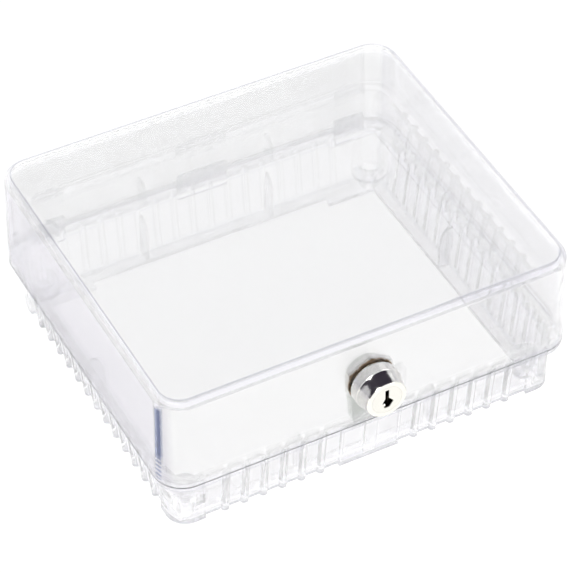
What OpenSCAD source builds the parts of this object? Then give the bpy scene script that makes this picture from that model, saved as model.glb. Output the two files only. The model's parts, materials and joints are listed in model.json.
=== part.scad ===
// Locking guard box: a clear cover hooked and locked on to a ribbed, open-centred
// base ring. The ring's back face is z = 0, the lock looks towards -Y, and the
// origin is the centre of the four wall-screw holes.

/* [Cover] */
// Width over the cover's rim
cover_w = 200; // [170:1:260]
// Depth over the cover's rim, from the lock wall to the hinge wall
cover_d = 175.2; // [150:0.2:230]
// Height of the cover, from its rim to its top face
cover_h = 49.6; // [44:0.2:80]
// Wall thickness of the cover
cover_wall = 2.4; // [1.8:0.1:3]
// Draft of the cover's side walls, in degrees
cover_draft = 1.1; // [0.5:0.1:2]
// Corner radius of the cover at its rim
cover_corner_r = 14; // [13.6:0.2:20]
// Radius of the cover's rounded top edge
cover_edge_r = 4.2; // [3:0.2:10]

/* [Base ring] */
// Height of the ring, from the mounting face to the face that the cover rests on
ring_h = 28.4; // [24:0.2:45]
// Thickness of the ring's wall
ring_wall = 2.2; // [1.6:0.1:2.6]
// Thickness of the ring's top and bottom flanges
flange_t = 2.2; // [1.6:0.1:3]
// Distance from the cover's outline to the ring's wall, at the top
wall_inset_top = 4.9; // [4.6:0.1:5.4]
// Distance from the cover's outline to the ring's wall, at the bottom
wall_inset_bottom = 7.6; // [6.6:0.1:8]
// Distance from the cover's outline to the edge of the top flange
flange_inset = 0.4; // [0.2:0.1:1]
// Height of the locating step inside the cover's rim
step_h = 1.2; // [0.8:0.1:1.2]
// Width of the bottom flange, from the wall's outer foot to the central opening
floor_w = 7.8; // [6:0.2:9]
// Extra width of the bottom flange beside each corner
floor_pad = 4.8; // [2:0.2:6]
// Length of each corner pad, from the corner of the opening
floor_pad_l = 23.6; // [18:0.2:30]

/* [Ribs] */
// Radius of each half-round rib on the outside of the ring
rib_r = 1.9; // [1.2:0.1:2.2]
// Radius of the groove inside each rib
groove_r = 1.1; // [0.6:0.1:1.4]
// Spacing of the ribs along the front and back
rib_pitch_x = 9.3; // [8:0.1:12]
// Spacing of the ribs along the sides
rib_pitch_y = 9.8; // [8:0.1:12]
// Thickness of the gussets inside the ring
gusset_t = 1.6; // [1:0.1:2.4]
// Height of each gusset's straight inner edge
gusset_h = 14; // [8:0.5:16]
// Height over which each gusset curves back to the ring's wall
gusset_curve_h = 11; // [6:0.5:11]
// Distance of the long sides' gussets from the middle, in ribs
gusset_ribs = 3.5; // [2.5:1:5.5]
// Half width of the bay under the lock
bay_hw = 14.6; // [12:0.2:18]
// Depth of the bay's two recesses
bay_recess = 1.4; // [0.6:0.1:1.8]

/* [Corner bosses] */
// Radius of the ring's corners, about each wall screw's axis
boss_r = 9.4; // [9:0.1:10]
// Height of the screw bosses
boss_h = 14; // [12:0.5:20]
// Radius of each boss's head
puck_r = 8.4; // [7.6:0.1:8.6]
// Thickness of each boss's head
puck_t = 6; // [4.5:0.5:8]
// Radius of the column under each boss's head
column_r = 5.4; // [4.5:0.1:6]
// Radius of the recess for each screw's head
well_r = 5.4; // [4.6:0.1:6]
// Depth of the recess for each screw's head
well_depth = 3; // [2:0.5:4]
// Radius of each wall-screw hole
screw_r = 2.25; // [1.8:0.05:2.75]

/* [Hooks] */
// Width of the middle hook tab
tab_mid_w = 25; // [16:0.5:40]
// Width of each end hook tab
tab_end_w = 15; // [10:0.5:20]
// Thickness of the hook tabs
tab_t = 1.8; // [1.4:0.1:2.4]
// Height of the tabs above the ring's top flange
tab_h = 11; // [10:0.2:14]
// Reach of each tab's lug towards the cover's back wall
lug_reach = 2.6; // [2:0.1:2.8]
// Thickness of the lug
lug_t = 2.5; // [2:0.1:3]
// Thickness of the catch below each lug
catch_t = 2.9; // [2:0.1:3]

/* [Lock] */
// Distance of the lock's axis from the middle of the front
lock_x = -1.8; // [-6:0.1:6]
// Height of the lock's axis above the cover's rim
lock_above_rim = 22.5; // [20:0.2:26]
// Radius of the lock's collar
collar_r = 11.1; // [10.6:0.1:12]
// Length of the collar
collar_l = 5.5; // [4:0.1:7]
// Radius of the lock's face
face_r = 9.2; // [8.4:0.1:10.4]
// Distance that the lock stands out of the cover
head_l = 12; // [10:0.1:14]
// Radius of the threaded body
body_r = 9; // [8.8:0.05:9.6]
// Distance across the body's two flats
body_flats = 16; // [15.2:0.1:17]
// Length of the body inside the cover's outer face
body_l = 7.2; // [7.2:0.1:8.2]
// Distance across the flats of the nut
nut_af = 21; // [21:0.5:22]
// Thickness of the nut
nut_t = 3.2; // [2.4:0.1:3.2]
// Thickness of the spur washer under the nut
spur_t = 0.7; // [0.5:0.1:0.7]

/* [Plug and wafers] */
// Radius of the plug
plug_r = 6.35; // [6:0.05:6.4]
// Radius of the plug's front rim
plug_rim_r = 7.2; // [6.9:0.05:7.6]
// Thickness of the plug's front rim
plug_rim_t = 1.5; // [1:0.1:2]
// Width of the key slot
slot_w = 1.8; // [1.4:0.1:2.2]
// Number of wafers
wafer_n = 5; // [3:1:5]
// Spacing of the wafers
wafer_pitch = 2.5; // [2.4:0.1:2.8]
// Thickness of each wafer
wafer_t = 0.9; // [0.7:0.05:1]
// Radius of each wafer spring
spring_r = 0.7; // [0.5:0.05:0.75]

/* [Cam] */
// Length of the cam, from the lock's axis to its tip
cam_l = 26; // [24:0.5:30]
// Radius of the cam's round end
cam_r = 8.9; // [8.2:0.1:9.4]
// Half width of the cam at its tip
cam_tip_hw = 7; // [6:0.1:8]
// Thickness of the cam
cam_t = 2; // [1.5:0.1:2.4]
// Thickness of the stop washer
stop_t = 0.8; // [0.6:0.1:0.8]
// Width of the plug's square drive
drive_w = 7; // [6.4:0.1:7.4]

/* [Clearances] */
// Gap between the cover's rim and the ring
rim_gap = 0.3; // [0.2:0.05:0.6]
// Gap between the locating step and the cover's wall
step_gap = 0.5; // [0.3:0.05:1]
// Radial running clearance of the plug in the lock
run_gap = 0.05; // [0.02:0.01:0.1]
// Clearance of parts that slip over one another
slip_gap = 0.1; // [0.05:0.05:0.2]
// Clearance between the cam's notch and the keeper's finger
keeper_gap = 0.6; // [0.4:0.1:0.8]

/* [Hidden] */
$fn = 64;
eps = 0.02;

// cover
rim_z = ring_h + rim_gap;
wall_rise = cover_h - cover_edge_r;
top_inset = wall_rise * tan(cover_draft);
flat_inset = top_inset + cover_edge_r;

// ring
corner_x = cover_w / 2 - cover_corner_r;
corner_y = cover_d / 2 - cover_corner_r;
step_inset = cover_wall + step_gap;
wall_slope = atan((wall_inset_bottom - wall_inset_top) / (ring_h - flange_t));
inner_inset_top = wall_inset_top + ring_wall;
inner_inset_bottom = wall_inset_bottom + ring_wall;
open_x = cover_w / 2 - wall_inset_bottom - floor_w;
open_y = cover_d / 2 - wall_inset_bottom - floor_w;
boss_inset = wall_inset_bottom - rib_r;
boss_x = cover_w / 2 - boss_inset - boss_r;
boss_y = cover_d / 2 - boss_inset - boss_r;
block_l = 5;
corner_wall = 3;
corner_in_r = 12;
rib_first = bay_hw + rib_r + (rib_pitch_x - 2 * rib_r) / 2 + 4;
rib_x_max = boss_x - block_l - rib_pitch_x / 2 - rib_r;
rib_y_max = boss_y - block_l - rib_pitch_y / 2 + rib_r;
front_ribs = [for (s = [-1, 1], x = [rib_first : rib_pitch_x : rib_x_max]) s * x];
back_ribs = [for (s = [-1, 1], x = [rib_pitch_x / 2 : rib_pitch_x : rib_x_max]) s * x];
side_ribs = [for (k = [-floor(rib_y_max / rib_pitch_y) : floor(rib_y_max / rib_pitch_y)]) k * rib_pitch_y];

// hooks
tab_y = cover_d / 2 - inner_inset_top - 1.3;
tab_end_x = corner_x - tab_end_w / 2 - 1;
tabs = [[-tab_end_x, tab_end_w], [0, tab_mid_w], [tab_end_x, tab_end_w]];
lug_z = ring_h + 6.1;
catch_z = ring_h + step_h + 0.5;
catch_y = tab_y + tab_t + 1.4;

// lock: local x is the part's X, local y is up, and local z points out of the cover
lock_y = -cover_d / 2 + 0.1;
lock_z = rim_z + lock_above_rim;
pad_r = collar_r - 0.4;
pad_in = cover_wall + (lock_above_rim + pad_r) * tan(cover_draft) - 0.04;
nut_z = -pad_in - spur_t - nut_t;
cam_z = -body_l - stop_t - cam_t;
stop_r = 7.9;
stop_angle = 150;
stop_pin_r = 0.8;
thread_r = 2;
wafer_hw = 3.8;
shoulder_x = 2;
shoulder_y = -1.1;
pocket_y = -4.9;
spring_x = 2.95;
bitting = [0.6, -0.4, 0.2, -0.8, 0.4];
first_wafer_z = 7.2;
keyway_z = -3.8;
function wafer_z(i) = first_wafer_z - i * wafer_pitch;

// keeper finger: an arc beside the lock that the cam's notch turns around
finger_in_r = nut_af / 2 + 1;
finger_out_r = finger_in_r + 2.4;
finger_from = -20;
finger_to = -8;
notch_end = -90 - 23;
keeper_x = nut_af / 2 + 2.2;
keeper_w = 4.8;

function arc(r, from, to, n) = [for (k = [0 : n]) r * [cos(from + (to - from) * k / n), sin(from + (to - from) * k / n)]];

module rounded_rect(w, d, r) {
    square([w - 2 * r, d], center = true);
    square([w, d - 2 * r], center = true);
    for (x = [-1, 1], y = [-1, 1])
        translate([x * (w / 2 - r), y * (d / 2 - r)])
            circle(r);
}

// Sweeps a wall section round the cover's outline. In the section, x = 0 is the
// outline, negative x is inside it and y is the height.
module around_outline() {
    for (k = [0 : 3])
        rotate(90 * k) {
            long = k % 2 == 0;
            half = long ? [cover_w / 2, corner_y] : [cover_d / 2, corner_x];
            translate([half[0], 0, 0])
                rotate([90, 0, 0])
                    linear_extrude(2 * half[1], center = true)
                        children();
            translate([half[0] - cover_corner_r, half[1], 0])
                rotate_extrude(angle = 90)
                    translate([cover_corner_r, 0])
                        children();
        }
}

// Places children on the wall of one side: local y is along the side, local x out.
module on_side(k) {
    rotate(90 * k)
        translate([(k % 2 == 0 ? cover_w : cover_d) / 2, 0, 0])
            children();
}

module at_lock() {
    translate([lock_x, lock_y, lock_z])
        rotate([90, 0, 0])
            children();
}

module wall_rods(r, foot_inset) {
    for (k = [0 : 3])
        on_side(k)
            for (y = k == 3 ? front_ribs : k == 1 ? back_ribs : side_ribs)
                translate([-foot_inset, y, 0])
                    rotate([0, wall_slope, 0])
                        translate([0, 0, -2])
                            cylinder(h = ring_h + 2, r = r, $fn = 24);
}

module ring_section() {
    polygon([
        [-inner_inset_bottom, 0], [-wall_inset_bottom, 0],
        [-wall_inset_top, ring_h - flange_t], [-flange_inset, ring_h - flange_t],
        [-flange_inset, ring_h], [-step_inset, ring_h],
        [-step_inset, ring_h + step_h], [-inner_inset_top, ring_h + step_h]
    ]);
}

module floor_flange() {
    foot = inner_inset_bottom - 1;
    linear_extrude(flange_t)
        difference() {
            rounded_rect(cover_w - 2 * foot, cover_d - 2 * foot, cover_corner_r - foot);
            square([2 * open_x, 2 * (open_y - floor_pad)], center = true);
            square([2 * (open_x - floor_pad_l), 2 * open_y], center = true);
        }
}

module gusset(reach) {
    translate([-inner_inset_bottom - reach, gusset_t / 2, 0])
        rotate([90, 0, 0])
            linear_extrude(gusset_t)
                intersection() {
                    union() {
                        square([reach + 1, gusset_h]);
                        translate([reach, gusset_h])
                            scale([1, gusset_curve_h / reach])
                                circle(reach);
                    }
                    square([reach + 1, gusset_h + gusset_curve_h]);
                }
}

module gussets() {
    reach = floor_w - ring_wall;
    for (x = [-gusset_ribs, gusset_ribs] * rib_pitch_x) {
        on_side(1)
            translate([0, -x, 0])
                gusset(reach);
        on_side(3)
            translate([0, x, 0])
                gusset(reach);
    }
    for (k = [0, 2])
        on_side(k)
            translate([0, (1 - k) * rib_pitch_y / 2, 0])
                gusset(reach);
}

// A slab that leans with the ring's wall, between two depths measured inwards
// from the ribs' outer line, and between two heights
module leaning_slab(from, to, z0, z1, width) {
    lean = (wall_inset_bottom - wall_inset_top) / (ring_h - flange_t);
    foot = wall_inset_bottom - rib_r;
    rotate([90, 0, 0])
        linear_extrude(width, center = true)
            polygon([[-foot - to + lean * z0, z0], [-foot - from + lean * z0, z0],
                [-foot - from + lean * z1, z1], [-foot - to + lean * z1, z1]]);
}

module lock_bay() {
    post = 2;
    pocket_w = bay_hw - post - 2;
    on_side(3)
        difference() {
            leaning_slab(0, rib_r + ring_wall / 2, 0, ring_h - flange_t + eps, 2 * bay_hw);
            for (s = [-1, 1])
                translate([0, s * (bay_hw + post) / 2, 0])
                    leaning_slab(-1, bay_recess, flange_t + 0.8, ring_h - 2 * flange_t, pocket_w);
        }
}

// The ring's four corners, which stand straight up round the wall screws
module corner_walls() {
    inner_w = 2 * (boss_x + boss_r - corner_wall);
    inner_d = 2 * (boss_y + boss_r - corner_wall);
    linear_extrude(ring_h - flange_t + eps)
        difference() {
            rounded_rect(2 * (boss_x + boss_r), 2 * (boss_y + boss_r), boss_r);
            rounded_rect(inner_w, inner_d, corner_in_r);
            square([2 * (boss_x - block_l), cover_d], center = true);
            square([cover_w, 2 * (boss_y - block_l)], center = true);
        }
}

module at_screws() {
    for (sx = [-1, 1], sy = [-1, 1])
        translate([sx * boss_x, sy * boss_y, 0])
            children();
}

module corner_bosses() {
    at_screws() {
        cylinder(h = boss_h, r = column_r);
        translate([0, 0, boss_h - puck_t])
            cylinder(h = puck_t, r = puck_r);
    }
}

module corner_wells() {
    at_screws() {
        translate([0, 0, boss_h - well_depth])
            cylinder(h = ring_h, r = well_r);
        translate([0, 0, -1])
            cylinder(h = boss_h + 2, r = screw_r);
    }
}

module hook_tabs() {
    for (t = tabs) {
        translate([t[0] - t[1] / 2, tab_y, ring_h - 3])
            cube([t[1], tab_t, tab_h + 3]);
        translate([t[0] - t[1] / 2 + 2, tab_y + tab_t - eps, lug_z])
            cube([t[1] - 4, lug_reach + eps, lug_t]);
    }
}

module keeper() {
    web_out = cam_z + cam_t + 0.4;
    top = finger_out_r * sin(finger_to) + 0.4;
    at_lock() {
        translate([keeper_x, ring_h - lock_z, web_out])
            cube([keeper_w, lock_z - ring_h + top, 4]);
        translate([finger_in_r * cos(finger_from), top - 5, web_out])
            cube([keeper_x - finger_in_r * cos(finger_from) + 1, 5, 1]);
        translate([0, 0, cam_z - 0.8])
            linear_extrude(web_out + 1 - cam_z + 0.8)
                polygon(concat(arc(finger_in_r, finger_from, finger_to, 4),
                    arc(finger_out_r, finger_to, finger_from, 4)));
    }
}

module base_ring() {
    color([0.86, 0.88, 0.93, 0.5]) {
        difference() {
            union() {
                around_outline()
                    ring_section();
                floor_flange();
                intersection() {
                    wall_rods(rib_r, wall_inset_bottom);
                    translate([-cover_w / 2, -cover_d / 2, 0])
                        cube([cover_w, cover_d, ring_h - flange_t + eps]);
                }
                lock_bay();
                corner_walls();
                corner_bosses();
                hook_tabs();
                keeper();
            }
            corner_wells();
            intersection() {
                wall_rods(groove_r, inner_inset_bottom);
                translate([0, 0, flange_t + ring_h / 2])
                    cube([cover_w, cover_d, ring_h], center = true);
            }
        }
        gussets();
    }
}

module cover_section() {
    centre = [-flat_inset, wall_rise];
    outer = [for (p = arc(cover_edge_r, 0, 90, 16)) centre + p];
    inner = [for (p = arc(cover_edge_r - cover_wall, 90, 0, 16)) centre + p];
    polygon(concat([[-cover_wall, 0], [0, 0]], outer, inner));
}

module cover_catches() {
    wall_in = cover_d / 2 - cover_wall - top_inset;
    for (t = tabs)
        translate([t[0] - t[1] / 2, catch_y, catch_z])
            cube([t[1], wall_in - catch_y + cover_wall / 2 + top_inset, catch_t]);
}

module double_d(r, flats) {
    intersection() {
        circle(r);
        square([flats, 3 * r], center = true);
    }
}

module cover() {
    color([0.90, 0.92, 0.96, 0.35])
        difference() {
            union() {
                translate([0, 0, rim_z]) {
                    around_outline()
                        cover_section();
                    translate([0, 0, cover_h - cover_wall])
                        linear_extrude(cover_wall)
                            rounded_rect(cover_w - 2 * flat_inset, cover_d - 2 * flat_inset,
                                cover_corner_r - flat_inset);
                }
                cover_catches();
                at_lock()
                    translate([0, 0, -pad_in])
                        cylinder(h = pad_in, r = pad_r);
            }
            at_lock()
                translate([0, 0, -pad_in - 1])
                    linear_extrude(pad_in + 2)
                        double_d(body_r + slip_gap, body_flats + 2 * slip_gap);
        }
}

module lock_housing() {
    groove_y = plug_r + 1.2;
    color([0.80, 0.80, 0.76])
        at_lock()
            difference() {
                union() {
                    rotate_extrude()
                        polygon([[0, 0], [collar_r - 0.3, 0], [collar_r, 0.3],
                            [collar_r, collar_l - 0.5], [collar_r - 0.4, collar_l],
                            [face_r + 0.3, head_l - 0.4], [face_r, head_l], [0, head_l]]);
                    translate([0, 0, -body_l])
                        linear_extrude(body_l + eps)
                            double_d(body_r, body_flats);
                    translate([stop_r * cos(stop_angle), stop_r * sin(stop_angle), -body_l - stop_t])
                        cylinder(h = 2 * stop_t, r = stop_pin_r);
                }
                translate([0, 0, -body_l - 2])
                    cylinder(h = body_l + head_l + 4, r = plug_r + run_gap);
                translate([0, 0, head_l - plug_rim_t - run_gap])
                    cylinder(h = plug_rim_t + 2, r = plug_rim_r + run_gap);
                translate([-wafer_hw, -groove_y, -body_l - 2])
                    cube([2 * wafer_hw, 2 * groove_y, body_l + first_wafer_z + wafer_t + 2]);
            }
}

module keyway() {
    translate([-slot_w / 2, -4.6, keyway_z])
        cube([slot_w, 10.2, head_l + 1 - keyway_z]);
    translate([0, 0, head_l - 1.6])
        linear_extrude(3)
            polygon([[-slot_w / 2, 0.9], [slot_w / 2, 0.9], [3.2, -1.6], [1.2, -4.6], [-1.2, -4.6], [-2.2, -1.6]]);
}

module wafer_slot(i) {
    gap = slip_gap / 2;
    translate([0, 0, wafer_z(i) - gap])
        linear_extrude(wafer_t + 2 * gap) {
            translate([-wafer_hw - gap, -plug_r - 1])
                square([wafer_hw + shoulder_x + 2 * gap, 2 * plug_r + 2]);
            translate([-wafer_hw - gap, shoulder_y - gap])
                square([2 * (wafer_hw + gap), 2 * plug_r]);
        }
    translate([spring_x, pocket_y, wafer_z(i) + wafer_t / 2])
        rotate([-90, 0, 0])
            cylinder(h = shoulder_y - pocket_y, r = spring_r + 0.1, $fn = 24);
}

module lock_plug() {
    color([0.93, 0.91, 0.84])
        at_lock()
            difference() {
                union() {
                    translate([0, 0, -body_l])
                        cylinder(h = body_l + head_l, r = plug_r);
                    translate([0, 0, head_l - plug_rim_t])
                        cylinder(h = plug_rim_t, r = plug_rim_r);
                    translate([-drive_w / 2, -drive_w / 2, cam_z])
                        cube([drive_w, drive_w, -cam_z - body_l + eps]);
                }
                keyway();
                for (i = [0 : wafer_n - 1])
                    wafer_slot(i);
                translate([0, 0, cam_z - 1])
                    cylinder(h = keyway_z - 0.7 - cam_z + 1, r = thread_r + run_gap);
            }
}

module wafer(i) {
    window_w = 2.6;
    window_h = 5.6;
    color([0.82, 0.68, 0.36])
        at_lock()
            translate([0, 0, wafer_z(i)])
                linear_extrude(wafer_t)
                    difference() {
                        intersection() {
                            circle(plug_r - 0.05);
                            translate([-wafer_hw, -plug_r])
                                square([2 * wafer_hw, 2 * plug_r]);
                        }
                        translate([shoulder_x, -plug_r - 1])
                            square([plug_r, plug_r + 1 + shoulder_y]);
                        translate([0, bitting[i]])
                            square([window_w, window_h], center = true);
                    }
}

module wafer_spring(i) {
    wire_r = 0.13;
    turns = 5;
    length = shoulder_y - pocket_y;
    color([0.70, 0.71, 0.73])
        at_lock()
            translate([spring_x, pocket_y, wafer_z(i) + wafer_t / 2])
                rotate([-90, 0, 0])
                    linear_extrude(length, twist = -360 * turns, slices = 12 * turns, $fn = 8)
                        translate([spring_r - wire_r, 0])
                            circle(wire_r * 1.4, $fn = 8);
}

module spur_washer() {
    teeth = 10;
    outer = nut_af / 2 + 0.6;
    color([0.78, 0.78, 0.76])
        at_lock()
            translate([0, 0, -pad_in - spur_t])
                linear_extrude(spur_t)
                    difference() {
                        circle(outer);
                        circle(body_r + slip_gap);
                        for (k = [0 : teeth - 1])
                            rotate(360 * (k + 0.5) / teeth)
                                translate([outer, 0])
                                    circle(0.7, $fn = 24);
                    }
}

module mounting_nut() {
    color([0.80, 0.80, 0.77])
        at_lock()
            translate([0, 0, nut_z])
                difference() {
                    linear_extrude(nut_t)
                        rotate(30)
                            circle(nut_af / sqrt(3), $fn = 6);
                    translate([0, 0, -1])
                        cylinder(h = nut_t + 2, r = body_r + slip_gap);
                }
}

module stop_washer() {
    disc_r = stop_r + stop_pin_r + 0.1;
    notch_r = stop_r - stop_pin_r - 0.3;
    play = asin(stop_pin_r / stop_r) + 1;
    color([0.76, 0.76, 0.74])
        at_lock()
            translate([0, 0, -body_l - stop_t])
                linear_extrude(stop_t - slip_gap)
                    difference() {
                        circle(disc_r);
                        square(drive_w + 2 * slip_gap, center = true);
                        polygon(concat(arc(notch_r, stop_angle - 90 - play, stop_angle + play, 24),
                            arc(2 * disc_r, stop_angle + play, stop_angle - 90 - play, 24)));
                    }
}

module cam() {
    notch_in_r = finger_in_r - keeper_gap;
    notch_out_r = finger_out_r + keeper_gap;
    color([0.74, 0.76, 0.73])
        at_lock()
            translate([0, 0, cam_z])
                linear_extrude(cam_t)
                    difference() {
                        polygon(concat(arc(cam_r, -4, 184, 48),
                            [[-cam_tip_hw, -cam_l + 1], [1 - cam_tip_hw, -cam_l],
                                [cam_tip_hw - 1, -cam_l], [cam_tip_hw, -cam_l + 1]]));
                        square(drive_w + 2 * slip_gap, center = true);
                        polygon(concat(arc(notch_in_r, notch_end, -20, 16),
                            arc(notch_out_r, -20, notch_end, 16)));
                    }
}

module cam_tooth_washer() {
    color([0.72, 0.73, 0.72])
        at_lock()
            translate([0, 0, cam_z - 0.6])
                linear_extrude(0.6)
                    difference() {
                        circle(5.4);
                        circle(thread_r + slip_gap);
                        for (k = [0 : 7])
                            rotate(45 * k)
                                translate([5.4, 0])
                                    circle(0.8, $fn = 24);
                    }
}

module cam_screw() {
    head_t = 2.2;
    head_r = 4;
    color([0.78, 0.78, 0.76])
        at_lock()
            difference() {
                union() {
                    translate([0, 0, cam_z - 0.6])
                        cylinder(h = keyway_z - 1 - cam_z + 0.6, r = thread_r);
                    translate([0, 0, cam_z - 0.6 - head_t])
                        cylinder(h = head_t, r = head_r);
                }
                for (a = [0, 90])
                    translate([0, 0, cam_z - 0.6 - head_t])
                        rotate(a)
                            cube([4.6, 0.9, 2.4], center = true);
            }
}

base_ring();
cover();
lock_housing();
lock_plug();
for (i = [0 : wafer_n - 1]) {
    wafer(i);
    wafer_spring(i);
}
spur_washer();
mounting_nut();
stop_washer();
cam();
cam_tooth_washer();
cam_screw();
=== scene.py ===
import json
import math

import bmesh
import bpy
from mathutils import Matrix, Vector

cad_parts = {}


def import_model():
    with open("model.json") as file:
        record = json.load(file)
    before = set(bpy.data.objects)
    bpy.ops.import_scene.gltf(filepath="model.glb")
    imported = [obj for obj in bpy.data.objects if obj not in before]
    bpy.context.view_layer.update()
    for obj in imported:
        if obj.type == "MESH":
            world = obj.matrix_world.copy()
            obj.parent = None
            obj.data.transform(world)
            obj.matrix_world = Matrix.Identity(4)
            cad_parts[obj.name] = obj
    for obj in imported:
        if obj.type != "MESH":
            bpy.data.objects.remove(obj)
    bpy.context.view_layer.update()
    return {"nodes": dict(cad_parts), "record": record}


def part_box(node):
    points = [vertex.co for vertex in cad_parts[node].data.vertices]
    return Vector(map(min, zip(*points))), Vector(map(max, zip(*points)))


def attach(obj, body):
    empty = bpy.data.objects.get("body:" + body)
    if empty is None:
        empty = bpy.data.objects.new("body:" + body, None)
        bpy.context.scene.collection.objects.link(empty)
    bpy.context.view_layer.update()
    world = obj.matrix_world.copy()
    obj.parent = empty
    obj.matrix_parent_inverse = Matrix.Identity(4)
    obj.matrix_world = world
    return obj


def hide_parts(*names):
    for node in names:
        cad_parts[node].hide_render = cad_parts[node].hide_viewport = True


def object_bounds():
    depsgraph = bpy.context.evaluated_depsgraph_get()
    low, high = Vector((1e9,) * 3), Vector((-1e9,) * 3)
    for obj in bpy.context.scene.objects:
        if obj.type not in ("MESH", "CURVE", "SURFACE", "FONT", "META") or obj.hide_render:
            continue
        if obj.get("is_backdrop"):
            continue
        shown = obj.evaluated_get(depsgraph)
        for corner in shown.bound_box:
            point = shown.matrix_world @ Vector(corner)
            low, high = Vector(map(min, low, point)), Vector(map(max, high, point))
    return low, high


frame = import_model()
nodes = frame["nodes"]
scene = bpy.context.scene
print("loaded", len(nodes), "nodes")


class Socket:
    # wraps one output so that shader maths can be written as an expression
    def __init__(self, shader, link):
        self.shader = shader
        self.link = link

    def op(self, operation, *others, flip=False):
        values = [self, *others]
        if flip:
            values.reverse()
        return self.shader.add("ShaderNodeMath", {"operation": operation}, dict(enumerate(values)))

    def __add__(self, other): return self.op("ADD", other)
    def __radd__(self, other): return self.op("ADD", other)
    def __sub__(self, other): return self.op("SUBTRACT", other)
    def __rsub__(self, other): return self.op("SUBTRACT", other, flip=True)
    def __mul__(self, other): return self.op("MULTIPLY", other)
    def __rmul__(self, other): return self.op("MULTIPLY", other)
    def __truediv__(self, other): return self.op("DIVIDE", other)
    def __pow__(self, other): return self.op("POWER", other)
    def __abs__(self): return self.op("ABSOLUTE")
    def most(self, other): return self.op("MAXIMUM", other)
    def least(self, other): return self.op("MINIMUM", other)
    def clamp(self): return self.most(0.0).least(1.0)
    def sin(self): return self.op("SINE")


class Shader:
    # builds one node tree, by a node's type, settings and inputs
    def __init__(self, tree):
        self.tree = tree
        self.tree.nodes.clear()

    def add(self, kind, settings=None, inputs=None, out=0):
        node = self.tree.nodes.new(kind)
        for name, value in (settings or {}).items():
            setattr(node, name, value)
        for key, value in (inputs or {}).items():
            if isinstance(value, Socket):
                self.tree.links.new(value.link, node.inputs[key])
            elif isinstance(value, tuple) and node.inputs[key].type == "RGBA":
                node.inputs[key].default_value = (*value, 1.0)
            else:
                node.inputs[key].default_value = value
        return Socket(self, node.outputs[out])

    def split(self, vector):
        parts = self.tree.nodes.new("ShaderNodeSeparateXYZ")
        self.tree.links.new(vector.link, parts.inputs[0])
        return [Socket(self, parts.outputs[k]) for k in range(3)]

    def place(self):
        # x, y and z of the point, in metres
        return self.split(self.add("ShaderNodeTexCoord", out="Object"))

    def facing(self):
        # how far a face looks up: 1 on a top, 0 on a wall, -1 underneath
        return self.split(self.add("ShaderNodeTexCoord", out="Normal"))[2]

    def noise(self, scale, detail):
        point = self.add("ShaderNodeTexCoord", out="Object")
        return self.add("ShaderNodeTexNoise",
                        inputs={"Vector": point, "Scale": scale, "Detail": detail})

    def mix(self, factor, first, second):
        # sockets 6 and 7 are the two colours, output 2 the mixed one
        return self.add("ShaderNodeMix", {"data_type": "RGBA"},
                        {0: factor, 6: first, 7: second}, out=2)

    def bump(self, height, strength, distance):
        return self.add("ShaderNodeBump",
                        inputs={"Height": height, "Strength": strength, "Distance": distance})

    def finish(self, surface, kind="ShaderNodeOutputMaterial"):
        end = self.tree.nodes.new(kind)
        self.tree.links.new(surface.link, end.inputs["Surface"])


# masks over a surface, each from 0 to 1 with a soft edge

def past(value, start, soft):
    # 0 up to start, 1 from soft beyond it
    return ((value - start) / soft).clamp()


def before(value, end, soft):
    # 1 until soft short of end, 0 from end on
    return ((end - value) / soft).clamp()


def near(value, centre, halfWidth, soft):
    # 1 within halfWidth of centre, falling to 0 over soft
    return (1.0 - (abs(value - centre) - halfWidth) / soft).clamp()


def towards(value, goal, mask):
    # goes from value to goal as the mask rises
    return value - (value - goal) * mask


def newMaterial(name):
    material = bpy.data.materials.new(name)
    material.use_nodes = True
    return material, Shader(material.node_tree)


copySettings = {"sharpAngle": 32.0, "mergeDistance": 2e-6}


def smoothCopy(nodeName, name):
    # a merged copy of a node, so that curved walls shade smoothly and flat ones stay flat
    mesh = nodes[nodeName].data.copy()
    piece = bpy.data.objects.new(name, mesh)
    scene.collection.objects.link(piece)
    build = bmesh.new()
    build.from_mesh(mesh)
    bmesh.ops.remove_doubles(build, verts=build.verts, dist=copySettings["mergeDistance"])
    build.to_mesh(mesh)
    build.free()
    if mesh.has_custom_normals:
        mesh.attributes.remove(mesh.attributes["custom_normal"])
    mesh.shade_smooth()
    mesh.set_sharp_from_angle(angle=math.radians(copySettings["sharpAngle"]))
    flat = piece.modifiers.new("flatFaces", "WEIGHTED_NORMAL")
    flat.keep_sharp = True
    return piece


def dress(piece, material):
    piece.data.materials.clear()
    piece.data.materials.append(material)


# clear plastic: places are in metres, angles in radians, and facing runs from 0 on a wall to 1 on a top.
# Tints are colours and cornerCentre is a place. Any other pair is an edge and its softness,
# and any other triple is a centre, a half width and a softness

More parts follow.
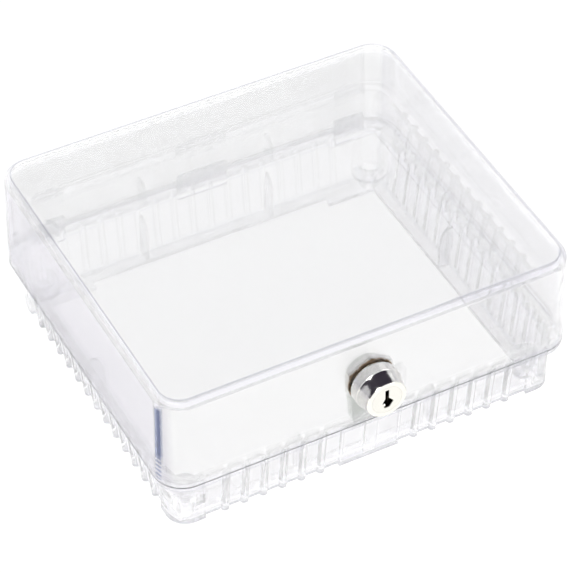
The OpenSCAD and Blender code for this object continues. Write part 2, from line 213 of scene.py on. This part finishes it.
coverSettings = {
    "tint": (0.992, 0.992, 0.995), "alpha": 0.64, "roughness": 0.02, "ior": 1.46,
    "rippleSize": 60.0, "rippleDetail": 2.0, "ripple": 0.02, "rippleDepth": 0.0004,
    "wallFacing": (0.7, 0.2),
    "leftWallShade": (0.620, 0.600, 0.680), "leftWall": (-0.0945, 0.003),
    "rightWallShade": (0.860, 0.830, 0.960), "rightWall": (0.0945, 0.003),
    "rearAlpha": 0.18, "rearWall": (0.0800, 0.0030),
    "cornerCentre": (0.086, 0.0736), "outerFace": (0.0130, 0.0003),
    "rimLineShade": (0.004, 0.004, 0.010), "rimAlpha": 1.0, "rimLine": (0.0288, 0.00042, 0.00012),
    "topFrom": (0.0735, 0.0005),
    "bevelShade": (0.740, 0.735, 0.800), "bevelAlpha": 0.42, "bevelFacing": (0.60, 0.36, 0.02),
    "crestShade": (0.40, 0.40, 0.48), "crestAlpha": 0.75, "crestFacing": (0.965, 0.012, 0.012),
    "farEdgeShade": (0.34, 0.34, 0.42), "farAlpha": 0.60,
    "farBack": (0.0800, 0.0020), "farRight": (0.0925, 0.0020),
    "thinAlpha": 0.32, "wallFoot": (0.0316, 0.0010),
    "catchFront": (0.0750, 0.001), "catchBack": (0.0848, 0.0003), "catchTop": (0.0340, 0.0005),
    "cornerBandShade": (0.11, 0.135, 0.26), "bandAngle": (0.28841, 0.115, 0.05),
    "bandSide": (-0.0855, 0.0005), "bandTop": (0.0736, 0.002), "bandFoot": (0.0300, 0.001),
    "barRate": 2500.0, "barLevel": 0.6, "barHeight": 1.2, "barsBelow": (0.044, 0.004),
    "edgeOnShadeTint": (0.42, 0.43, 0.50), "edgeOnAngle": (-0.43, 0.02, 0.03), "edgeOnSide": (0.086, 0.0005),
}

ringSettings = {
    "tint": (0.980, 0.973, 0.998), "alpha": 0.66, "roughness": 0.05, "ior": 1.42,
    "rippleSize": 180.0, "rippleDetail": 3.0, "ripple": 0.05, "rippleDepth": 0.0004,
    "wallFacing": (0.7, 0.2),
    "flangeLineShade": (0.50, 0.50, 0.62), "lineAlpha": 0.45, "flangeLine": (0.0264, 0.0002, 0.0003),
    "thinAlpha": 0.22, "flangeFrom": (0.0258, 0.0006), "stripTop": (0.0030, 0.0005),
    "frontStrip": (-0.045, 0.010), "leftStrip": (-0.045, 0.010),
    "insideDeep": (0.0775, 0.0005), "insideWide": (0.0900, 0.0005),
    "backAlpha": 0.42, "backWall": (0.066, 0.006),
    "backRibAlpha": 0.10, "backRibs": (0.0800, 0.0003), "ribTop": (0.0255, 0.0003),
    "sideRibShade": (0.80, 0.79, 0.86), "sideRibs": (0.0930, 0.0004),
    "tabShade": (0.940, 0.935, 0.970), "tabAlpha": 0.42,
    "tabFoot": (0.0287, 0.0003), "tabFront": (0.0700, 0.002),
    "footLineShade": (0.62, 0.62, 0.68), "footLine": (0.0005, 0.0005, 0.0005),
}


def clearSurface(sh, s, tint, alpha):
    wave = sh.noise(s["rippleSize"], s["rippleDetail"])
    sh.finish(sh.add("ShaderNodeBsdfPrincipled", inputs={
        "Base Color": tint,
        "Roughness": s["roughness"],
        "IOR": s["ior"],
        "Transmission Weight": 1.0,
        "Alpha": alpha,
        "Normal": sh.bump(wave, s["ripple"], s["rippleDepth"])}))


def coverPlastic():
    s = coverSettings
    material, sh = newMaterial("clearCoverPlastic")
    x, y, z = sh.place()
    facing = sh.facing()
    wall = before(abs(facing), *s["wallFacing"])
    # the left and right walls are tinted with painted shade, darker on the left, and the right and back
    # walls are fainter
    left = before(x, *s["leftWall"]) * wall
    right = past(x, *s["rightWall"]) * wall
    rear = (past(y, *s["rearWall"]) * wall).most(right)
    tint = sh.mix(right, sh.mix(left, s["tint"], s["leftWallShade"]), s["rightWallShade"])
    # painted shade: the rounded top edge is tinted darker, with a darker painted line where it meets the
    # flat top, for how the curved edge bends the light
    high = past(z, *s["topFrom"])
    bevel = high * near(facing, *s["bevelFacing"])
    crest = high * near(facing, *s["crestFacing"])
    tint = sh.mix(crest, sh.mix(bevel, tint, s["bevelShade"]), s["crestShade"])
    # its back and right sides are painted darker still, as painted shade, and are denser, and read as a
    # thin line from the front
    far = past(y, *s["farBack"]).most(past(x, *s["farRight"])) * bevel
    tint = sh.mix(far, tint, s["farEdgeShade"])
    # a painted dark line round the outside of the rim, painted shade for the edge seen through clear
    # plastic
    cornerX, cornerY = s["cornerCentre"]
    overX = (abs(x) - cornerX).most(0.0)
    overY = (abs(y) - cornerY).most(0.0)
    outer = past((overX * overX + overY * overY) ** 0.5, *s["outerFace"])
    rim = near(z, *s["rimLine"]) * wall * outer
    tint = sh.mix(rim, tint, s["rimLineShade"])
    # the catches inside the back wall and the wall's foot hardly show
    catches = before(y, *s["catchBack"]) * past(y, *s["catchFront"]) * before(z, *s["catchTop"])
    thin = catches.most(before(z, *s["wallFoot"]))
    # painted reflection: the front-left corner is painted as a blue-grey band, with fine bars near its
    # foot, for the dark surroundings its rounding bends into view
    angle = (-cornerY - y).op("ARCTAN2", -cornerX - x)
    band = near(angle, *s["bandAngle"]) * before(x, *s["bandSide"])
    band = band * before(z, *s["bandTop"]) * past(z, *s["bandFoot"])
    bars = (s["barLevel"] + s["barHeight"] * (z * s["barRate"]).sin()).clamp()
    band = band * (1.0 - before(z, *s["barsBelow"]) * (1.0 - bars * outer))
    tint = sh.mix(band, tint, s["cornerBandShade"])
    # painted shade: a thin dark line down the front-right corner, where the rounded corner turns edge-on
    turn = (y + cornerY).op("ARCTAN2", x - cornerX)
    edgeOnShade = near(turn, *s["edgeOnAngle"]) * past(x, *s["edgeOnSide"]) * wall
    tint = sh.mix(edgeOnShade, tint, s["edgeOnShadeTint"])
    alpha = towards(s["alpha"], s["rearAlpha"], rear)
    alpha = towards(alpha, s["thinAlpha"], thin)
    alpha = towards(alpha, s["bevelAlpha"], bevel)
    alpha = alpha.most(s["crestAlpha"] * crest).most(s["farAlpha"] * far)
    alpha = alpha.most(s["rimAlpha"] * rim).most(band)
    clearSurface(sh, s, tint, alpha)
    return material


def ringPlastic():
    s = ringSettings
    material, sh = newMaterial("clearRingPlastic")
    x, y, z = sh.place()
    # painted shade: the flange's lower corner is painted darker, and is denser than the flange
    line = near(z, *s["flangeLine"]) * before(abs(sh.facing()), *s["wallFacing"])
    # the floor strips at the front and left, and the flange, hardly show
    strips = before(y, *s["frontStrip"]).most(before(x, *s["leftStrip"]))
    inside = before(abs(y), *s["insideDeep"]) * before(abs(x), *s["insideWide"])
    thin = past(z, *s["flangeFrom"]).most(strips * inside * before(z, *s["stripTop"]))
    # the back wall is fainter than the rest, and its ribs are fainter still
    backWall = past(y, *s["backWall"])
    belowFlange = before(z, *s["ribTop"])
    backRibs = past(y, *s["backRibs"]) * belowFlange
    # the tabs that stand up from the back flange are a little denser than the flange, and a painted
    # shade makes them a little darker
    tabs = past(z, *s["tabFoot"]) * past(y, *s["tabFront"])
    alpha = towards(s["alpha"], s["backAlpha"], backWall)
    alpha = towards(alpha, s["backRibAlpha"], backRibs)
    alpha = towards(alpha, s["thinAlpha"], thin)
    alpha = alpha.most(s["tabAlpha"] * tabs).most(s["lineAlpha"] * line)
    # painted shade: the outer lower edge and the right side's ribs are painted darker
    foot = near(z, *s["footLine"]) * (1.0 - inside)
    sideRibs = past(x, *s["sideRibs"]) * belowFlange
    tint = sh.mix(line, s["tint"], s["flangeLineShade"])
    tint = sh.mix(foot, tint, s["footLineShade"])
    tint = sh.mix(sideRibs, tint, s["sideRibShade"])
    tint = sh.mix(tabs, tint, s["tabShade"])
    clearSurface(sh, s, tint, alpha)
    return material


# metals: paleFrom and darkFrom count back from the lock's face

nickelSettings = {"colour": (0.80, 0.79, 0.76), "roughness": 0.14,
                  "paleFrom": 0.0006, "pale": (0.975, 0.96, 0.89)}
faceSettings = {"colour": (0.975, 0.96, 0.89), "roughness": 0.30,
                "darkFrom": 0.0003, "dark": (0.020, 0.016, 0.012)}
steelSettings = {"colour": (0.66, 0.69, 0.65), "roughness": 0.30}
brassSettings = {"colour": (0.30, 0.21, 0.09), "roughness": 0.42}
bronzeSettings = {"colour": (0.40, 0.25, 0.12), "roughness": 0.28}
springSettings = {"colour": (0.62, 0.63, 0.65), "roughness": 0.22}
grainSettings = {
    "fineSize": 900.0, "fineDetail": 3.0, "bump": 0.05, "bumpDepth": 0.0002,
    "roughnessSpread": 0.10,
    "broadSize": 90.0, "broadDetail": 2.0, "broadShade": 0.90,
    "paleSoft": 0.00015, "darkSoft": 0.0003,
}
lockLow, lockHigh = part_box("lock_housing")


def metal(name, settings):
    g = grainSettings
    material, sh = newMaterial(name)
    fine = sh.noise(g["fineSize"], g["fineDetail"])
    broad = sh.noise(g["broadSize"], g["broadDetail"])
    shade = tuple(g["broadShade"] * c for c in settings["colour"])
    colour = sh.mix(broad, settings["colour"], shade)
    y = sh.place()[1]
    if "pale" in settings:
        # the flat face is paler than the turned side of the lock's head
        face = before(y, lockLow.y + settings["paleFrom"], g["paleSoft"])
        colour = sh.mix(face, colour, settings["pale"])
    if "dark" in settings:
        # the walls of the key slot are unlit
        deep = past(y, lockLow.y + settings["darkFrom"], g["darkSoft"])
        colour = sh.mix(deep, colour, settings["dark"])
    sh.finish(sh.add("ShaderNodeBsdfPrincipled", inputs={
        "Base Color": colour,
        "Metallic": 1.0,
        "Roughness": (settings["roughness"] + g["roughnessSpread"] * (fine - 0.5)).clamp(),
        "Normal": sh.bump(fine, g["bump"], g["bumpDepth"])}))
    return material


print("making the plastic")
clearCover = coverPlastic()
clearRing = ringPlastic()
for nodeName, name, body, material, slotName in (
        ("base_ring", "clearRing", "base", clearRing, "clear_ring"),
        ("cover", "clearCover", "cover_body", clearCover, "clear_cover")):
    piece = smoothCopy(nodeName, name)
    dress(piece, material)
    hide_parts(nodeName)
    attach(piece, body)

print("making the metals")
nickel = metal("satinNickel", nickelSettings)
paleFace = metal("paleNickelFace", faceSettings)
steel = metal("zincSteel", steelSettings)
brass = metal("stampedBrass", brassSettings)
bronze = metal("bronzedSteel", bronzeSettings)
springWire = metal("springWire", springSettings)
metalOf = {"nickel_plate": nickel, "pale_nickel": paleFace, "cam_steel": steel,
           "wafer_brass": brass, "washer_bronze": bronze, "spring_steel": springWire}
slotOf = {part["node"]: part["material_slot"] for part in frame["record"]["subparts"]}
turned = {
    "lock_housing": ("lockHousing", "cover_body"),
    "mounting_nut": ("mountingNut", "cover_body"),
    "spur_washer": ("spurWasher", "cover_body"),
    "lock_plug": ("lockPlug", "plug_body"),
    "stop_washer": ("stopWasher", "plug_body"),
    "cam": ("lockCam", "plug_body"),
    "cam_tooth_washer": ("camToothWasher", "plug_body"),
    "cam_screw": ("camScrew", "plug_body"),
}
for nodeName, obj in list(nodes.items()):
    slotName = slotOf[nodeName]
    if nodeName in turned:
        name, body = turned[nodeName]
        piece = smoothCopy(nodeName, name)
        dress(piece, metalOf[slotName])
        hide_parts(nodeName)
        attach(piece, body)
    elif slotName in metalOf:
        # wafers keep their own mesh, and the springs give way to finer coils below
        obj.data.materials.clear()
        obj.data.materials.append(metalOf[slotName])


def newTree(name, sizes):
    # a tree with one named input for each size
    tree = bpy.data.node_groups.new(name, "GeometryNodeTree")
    tree.interface.new_socket("Geometry", in_out="OUTPUT", socket_type="NodeSocketGeometry")
    for size, value in sizes.items():
        kind = "NodeSocketVector" if isinstance(value, tuple) else "NodeSocketFloat"
        tree.interface.new_socket(size, in_out="INPUT", socket_type=kind)
    return tree, tree.nodes.new("NodeGroupInput")


def finishTree(tree, geometry, material):
    # instances made real, then smooth shading and the material, then out
    real = tree.nodes.new("GeometryNodeRealizeInstances")
    smooth = tree.nodes.new("GeometryNodeSetShadeSmooth")
    paint = tree.nodes.new("GeometryNodeSetMaterial")
    end = tree.nodes.new("NodeGroupOutput")
    paint.inputs["Material"].default_value = material
    tree.links.new(geometry, real.inputs[0])
    tree.links.new(real.outputs[0], smooth.inputs[0])
    tree.links.new(smooth.outputs[0], paint.inputs[0])
    tree.links.new(paint.outputs[0], end.inputs[0])


def grow(name, tree, sizes):
    # runs a tree once and keeps the result as a plain mesh at the origin
    holder = bpy.data.objects.new(name + "Maker", bpy.data.meshes.new(name + "Maker"))
    scene.collection.objects.link(holder)
    modifier = holder.modifiers.new("maker", "NODES")
    modifier.node_group = tree
    for item in tree.interface.items_tree:
        if item.in_out == "INPUT":
            modifier[item.identifier] = sizes[item.name]
    holder.data.update()
    finished = holder.evaluated_get(bpy.context.evaluated_depsgraph_get())
    mesh = bpy.data.meshes.new_from_object(finished)
    bpy.data.objects.remove(holder)
    mesh.name = name
    piece = bpy.data.objects.new(name, mesh)
    scene.collection.objects.link(piece)
    return piece


# wafer springs and lock thread: the sizes are the trees' inputs, steps are counted per turn

springSizes = {"turns": 5.5, "radius": 0.00057, "wire": 0.00013, "length": 0.0038,
               "place": (0.0, 0.0, 0.0)}
threadSizes = {"turns": 4.0, "radius": 0.00890, "wire": 0.00017, "length": 0.0034,
               "place": (0.0, 0.0, 0.0), "flat": 0.00790}
springShape = {"steps": 20, "wireSides": 8, "tilt": 0.0}
threadShape = {"steps": 64, "wireSides": 4, "tilt": 90.0, "inset": 0.0011}


def cutFlats(tree, given, path):
    # the two flats cut the thread off at each side
    link = tree.links.new
    place = tree.nodes.new("GeometryNodeInputPosition")
    split = tree.nodes.new("ShaderNodeSeparateXYZ")
    clip = tree.nodes.new("ShaderNodeClamp")
    minus = tree.nodes.new("ShaderNodeMath")
    minus.operation = "MULTIPLY"
    minus.inputs[1].default_value = -1.0
    join = tree.nodes.new("ShaderNodeCombineXYZ")
    move = tree.nodes.new("GeometryNodeSetPosition")
    link(place.outputs[0], split.inputs[0])
    link(given.outputs["flat"], minus.inputs[0])
    link(split.outputs[0], clip.inputs["Value"])
    link(minus.outputs[0], clip.inputs["Min"])
    link(given.outputs["flat"], clip.inputs["Max"])
    link(clip.outputs[0], join.inputs[0])
    link(split.outputs[1], join.inputs[1])
    link(split.outputs[2], join.inputs[2])
    link(path, move.inputs["Geometry"])
    link(join.outputs[0], move.inputs["Position"])
    return move.outputs[0]


def coilTree(name, material, sizes, shape):
    tree, given = newTree(name, sizes)
    link = tree.links.new
    spiral = tree.nodes.new("GeometryNodeCurveSpiral")
    spiral.inputs["Resolution"].default_value = shape["steps"]
    link(given.outputs["turns"], spiral.inputs["Rotations"])
    link(given.outputs["radius"], spiral.inputs["Start Radius"])
    link(given.outputs["radius"], spiral.inputs["End Radius"])
    link(given.outputs["length"], spiral.inputs["Height"])
    path = spiral.outputs[0]
    if "flat" in sizes:
        path = cutFlats(tree, given, path)
    wire = tree.nodes.new("GeometryNodeCurvePrimitiveCircle")
    wire.inputs["Resolution"].default_value = shape["wireSides"]
    link(given.outputs["wire"], wire.inputs["Radius"])
    sweep = tree.nodes.new("GeometryNodeCurveToMesh")
    sweep.inputs["Fill Caps"].default_value = True
    link(path, sweep.inputs["Curve"])
    link(wire.outputs[0], sweep.inputs["Profile Curve"])
    put = tree.nodes.new("GeometryNodeTransform")
    put.inputs["Rotation"].default_value = (math.radians(shape["tilt"]), 0.0, 0.0)
    link(sweep.outputs[0], put.inputs["Geometry"])
    link(given.outputs["place"], put.inputs["Translation"])
    finishTree(tree, put.outputs[0], material)
    return tree


print("coiling the springs and cutting the thread")
springTree = coilTree("springCoil", springWire, springSizes, springShape)
for k in range(1, 6):
    low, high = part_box(f"wafer_spring_{k}")
    middle = (low + high) / 2
    sizes = dict(springSizes, length=high.z - low.z - 2 * springSizes["wire"],
                 place=(middle.x, middle.y, low.z + springSizes["wire"]))
    piece = grow(f"waferSpring{k}", springTree, sizes)
    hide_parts(f"wafer_spring_{k}")
    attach(piece, "plug_body")
lockAxis = (lockLow + lockHigh) / 2
sizes = dict(threadSizes, place=(lockAxis.x, lockHigh.y - threadShape["inset"], lockAxis.z))
piece = grow("lockThread", coilTree("lockThread", nickel, threadSizes, threadShape), sizes)
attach(piece, "cover_body")


shutterSettings = {"radius": 0.00095, "across": -0.0011, "up": -0.0034, "behind": 0.0011,
                   "segments": 24, "rings": 12}


def keyShutter():
    # the rounded end of the dust shutter at the foot of the key slot
    s = shutterSettings
    mesh = bpy.data.meshes.new("keyShutter")
    build = bmesh.new()
    bmesh.ops.create_uvsphere(build, u_segments=s["segments"], v_segments=s["rings"],
                              radius=s["radius"])
    place = (lockAxis.x + s["across"], lockLow.y + s["behind"], lockAxis.z + s["up"])
    bmesh.ops.translate(build, vec=place, verts=build.verts)
    build.to_mesh(mesh)
    build.free()
    mesh.shade_smooth()
    piece = bpy.data.objects.new("keyShutter", mesh)
    scene.collection.objects.link(piece)
    return piece


piece = keyShutter()
piece.data.materials.append(nickel)
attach(piece, "plug_body")


stageSettings = {
    "floorHalf": 4.0,
    "floorLevel": -0.0004,
    "floorGlow": 1.03,
    "floorColour": (0.04, 0.04, 0.041),
    "skyColour": (0.93, 0.94, 0.97),
    "skyStrength": 0.95,
    "dimColour": (0.035, 0.028, 0.045),
    "dimRight": (0.80, 0.08),  # the dark strip's edges, as directions from the object
    "dimBack": (0.50, 0.10),
    "dimFront": (-0.30, 0.10),
    "dimFoot": (-0.02, 0.05),
}
lampSettings = {
    "keyLamp": {"place": (-0.9, -0.5, 1.6), "size": 0.9, "power": 9.0},
    "fillLamp": {"place": (1.2, -0.9, 1.0), "size": 0.8, "power": 4.0},
}
lampTarget = (0.0, 0.0, 0.03)
cameraSettings = {
    "place": (-0.4615, -0.8884, 0.9893),
    "azimuth": -27.57,
    "elevation": 43.70,
    "roll": -0.20,
    "lens": 194.3,
    "sensor": 36.0,
}


def layFloor():
    s = stageSettings
    half, level = s["floorHalf"], s["floorLevel"]
    corners = [(-half, -half, level), (half, -half, level),
               (half, half, level), (-half, half, level)]
    mesh = bpy.data.meshes.new("floor")
    mesh.from_pydata(corners, [], [(0, 1, 2, 3)])
    floor = bpy.data.objects.new("floor", mesh)
    scene.collection.objects.link(floor)
    material, sh = newMaterial("paleFloor")
    glow = sh.add("ShaderNodeEmission",
                  inputs={"Color": (1.0, 1.0, 1.0), "Strength": s["floorGlow"]})
    paint = sh.add("ShaderNodeBsdfDiffuse", inputs={"Color": s["floorColour"]})
    sh.finish(sh.add("ShaderNodeAddShader", inputs={0: glow, 1: paint}))
    mesh.materials.append(material)
    return floor


def softRoom():
    s = stageSettings
    world = bpy.data.worlds.new("softRoom")
    world.use_nodes = True
    sh = Shader(world.node_tree)
    dirX, dirY, dirZ = sh.split(sh.add("ShaderNodeTexCoord", out="Generated"))
    # a dark part of the room that only reflections on outer faces pick up
    strip = before(dirY, *s["dimBack"]) * past(dirY, *s["dimFront"])
    strip = strip * before(dirX, *s["dimRight"]) * past(dirZ, *s["dimFoot"])
    path = sh.tree.nodes.new("ShaderNodeLightPath")
    throughPlastic = Socket(sh, path.outputs["Transmission Depth"])
    glossy = Socket(sh, path.outputs["Is Glossy Ray"]) * (1.0 - throughPlastic).clamp()
    room = sh.mix(strip * glossy, s["skyColour"], s["dimColour"])
    sky = sh.add("ShaderNodeBackground", inputs={"Color": room, "Strength": s["skyStrength"]})
    white = sh.add("ShaderNodeBackground", inputs={"Color": (1.0, 1.0, 1.0), "Strength": 1.0})
    seen = Socket(sh, path.outputs["Is Camera Ray"])
    sh.finish(sh.add("ShaderNodeMixShader", inputs={0: seen, 1: sky, 2: white}),
              "ShaderNodeOutputWorld")
    return world


def lamp(name, place, size, power):
    data = bpy.data.lights.new(name, "AREA")
    data.size = size
    data.energy = power
    obj = bpy.data.objects.new(name, data)
    scene.collection.objects.link(obj)
    back = (Vector(place) - Vector(lampTarget)).normalized()
    turn = back.to_track_quat("Z", "Y").to_matrix().to_4x4()
    obj.matrix_world = Matrix.Translation(place) @ turn


def aimCamera():
    s = cameraSettings
    azimuth, elevation, roll = (math.radians(s[key]) for key in ("azimuth", "elevation", "roll"))
    back = Vector((math.sin(azimuth) * math.cos(elevation),
                   -math.cos(azimuth) * math.cos(elevation), math.sin(elevation)))
    right = Vector((0, 0, 1)).cross(back).normalized()
    up = back.cross(right)
    right = math.cos(roll) * right + math.sin(roll) * up
    up = back.cross(right)
    data = bpy.data.cameras.new("camera")
    data.sensor_width = s["sensor"]
    data.lens = s["lens"]
    camera = bpy.data.objects.new("camera", data)
    scene.collection.objects.link(camera)
    turn = Matrix((right, up, back)).transposed().to_4x4()
    camera.matrix_world = Matrix.Translation(s["place"]) @ turn
    return camera


print("setting the stage")
scene.view_settings.view_transform = "Standard"
floor = layFloor()
floor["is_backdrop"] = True
scene.world = softRoom()
for name, settings in lampSettings.items():
    lamp(name, **settings)
scene.camera = aimCamera()

low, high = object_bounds()
